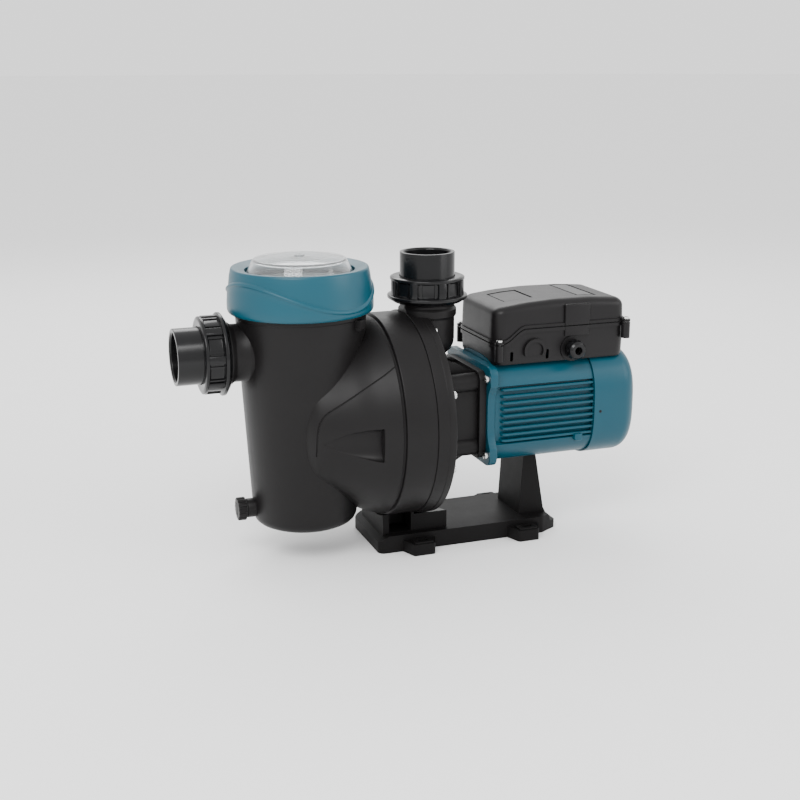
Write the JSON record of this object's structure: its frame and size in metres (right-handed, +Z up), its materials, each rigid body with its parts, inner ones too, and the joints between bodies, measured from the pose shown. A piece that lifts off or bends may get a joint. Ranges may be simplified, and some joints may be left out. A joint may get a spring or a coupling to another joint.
{
  "type": "pool pump",
  "caption": "Self-priming swimming-pool pump with a strainer pot, clear screwed lid, union couplings, finned motor, electronics box and moulded base.",
  "frame": {"origin": "middle of the pump's footprint, on the surface the base stands on", "axes": "+X along the shaft from the suction union to the fan cover, -Y towards the side with the cable gland, +Z up"},
  "size_m": [0.642, 0.2846, 0.4106],
  "materials": {
    "black_plastic": "satin black moulding with a faint grain",
    "union_plastic": "smooth glossy black",
    "teal_paint": "satin teal paint",
    "teal_plastic": "satin teal moulding",
    "clear_polycarbonate": "clear moulding",
    "seal_rubber": "matt black",
    "stainless_steel": "bright turned steel",
    "core_steel": "stacked sheet steel",
    "copper_winding": "varnished copper wire",
    "seal_ceramic": "ground ceramic",
    "seal_carbon": "lapped carbon",
    "pump_plastic": "glass-filled dark grey moulding",
    "basket_plastic": "light grey moulding",
    "circuit_board": "green board"
  },
  "bodies": {
    "pump": {"pump_body": "black_plastic", "rear_cover": "black_plastic", "lantern_bracket": "black_plastic", "box_base": "black_plastic", "base_frame": "black_plastic", "gland_body": "union_plastic", "motor_housing": "teal_paint", "front_shield": "teal_paint", "rear_shield": "teal_paint", "fan_cover": "teal_paint", "casing_seal": "seal_rubber", "casing_screw_1": "stainless_steel", "casing_screw_2": "stainless_steel", "casing_screw_3": "stainless_steel", "casing_screw_4": "stainless_steel", "casing_screw_5": "stainless_steel", "casing_screw_6": "stainless_steel", "casing_screw_7": "stainless_steel", "casing_screw_8": "stainless_steel", "flange_screw_1": "stainless_steel", "flange_screw_2": "stainless_steel", "flange_screw_3": "stainless_steel", "flange_screw_4": "stainless_steel", "bearing_front_outer": "stainless_steel", "bearing_rear_outer": "stainless_steel", "stator_core": "core_steel", "winding_front": "copper_winding", "winding_rear": "copper_winding", "seal_seat": "seal_ceramic", "diffuser": "pump_plastic", "drive_board": "circuit_board"},
    "rotor": {"motor_shaft": "stainless_steel", "rotor_core": "core_steel", "impeller": "pump_plastic", "impeller_screw": "stainless_steel", "seal_face": "seal_carbon", "seal_spring": "stainless_steel", "cooling_fan": "pump_plastic", "bearing_front_inner": "stainless_steel", "bearing_rear_inner": "stainless_steel"},
    "lid": {"clear_lid": "clear_polycarbonate", "lid_seal": "seal_rubber"},
    "ring": {"lid_ring": "teal_plastic"},
    "basket": {"strainer_basket": "basket_plastic"},
    "handle": {"basket_handle": "basket_plastic"},
    "suction_pipe": {"suction_tailpiece": "union_plastic", "suction_seal": "seal_rubber"},
    "suction_ring": {"suction_nut": "union_plastic"},
    "discharge_pipe": {"discharge_tailpiece": "union_plastic", "discharge_seal": "seal_rubber"},
    "discharge_ring": {"discharge_nut": "union_plastic"},
    "drain_seal": {"drain_washer": "seal_rubber"},
    "drain": {"drain_plug": "black_plastic"},
    "box_cover": {"box_lid": "black_plastic", "box_gasket": "seal_rubber", "box_screw_1": "stainless_steel", "box_screw_2": "stainless_steel", "box_screw_3": "stainless_steel", "box_screw_4": "stainless_steel"},
    "gland": {"gland_nut": "union_plastic"}
  },
  "joints": [
    {"name": "rotor_spin", "type": "hinge", "parent": "pump", "child": "rotor", "pos_m": [0.1, 0, 0.184], "axis": [1, 0, 0], "continuous": true},
    {"name": "lid_lift", "type": "slide", "parent": "pump", "child": "lid", "axis": [0, 0, 1], "range_m": [0, 0.5]},
    {"name": "ring_turn", "type": "hinge", "parent": "lid", "child": "ring", "pos_m": [-0.15, 0, 0.37], "axis": [0, 0, 1], "range_deg": [0, 90]},
    {"name": "basket_lift", "type": "slide", "parent": "pump", "child": "basket", "axis": [0, 0, 1], "range_m": [0, 0.275]},
    {"name": "handle_swing", "type": "hinge", "parent": "basket", "child": "handle", "pos_m": [-0.15, 0, 0.369], "axis": [0, -1, 0], "range_deg": [0, 90]},
    {"name": "suction_pull", "type": "slide", "parent": "pump", "child": "suction_pipe", "axis": [-1, 0, 0], "range_m": [0, 0.06]},
    {"name": "suction_nut_turn", "type": "hinge", "parent": "suction_pipe", "child": "suction_ring", "pos_m": [-0.271, 0, 0.2858], "axis": [1, 0, 0], "continuous": true},
    {"name": "discharge_pull", "type": "slide", "parent": "pump", "child": "discharge_pipe", "axis": [0, 0, 1], "range_m": [0, 0.06]},
    {"name": "discharge_nut_turn", "type": "hinge", "parent": "discharge_pipe", "child": "discharge_ring", "pos_m": [0.029, 0, 0.3555], "axis": [0, 0, 1], "continuous": true},
    {"name": "drain_pull", "type": "slide", "parent": "pump", "child": "drain_seal", "axis": [-1, 0, 0], "range_m": [0, 0.04]},
    {"name": "drain_turn", "type": "hinge", "parent": "drain_seal", "child": "drain", "pos_m": [-0.235, 0, 0.069], "axis": [1, 0, 0], "continuous": true},
    {"name": "box_lift", "type": "slide", "parent": "pump", "child": "box_cover", "axis": [0, 0, 1], "range_m": [0, 0.08]},
    {"name": "gland_turn", "type": "hinge", "parent": "pump", "child": "gland", "pos_m": [0.219, -0.078, 0.2696], "axis": [0, 1, 0], "continuous": true}
  ],
  "couplings": [
    {"joint": "basket_lift", "follows": "lid_lift", "ratio": 0.55},
    {"joint": "handle_swing", "follows": "lid_lift", "rad_per_m": 3.1415}
  ]
}
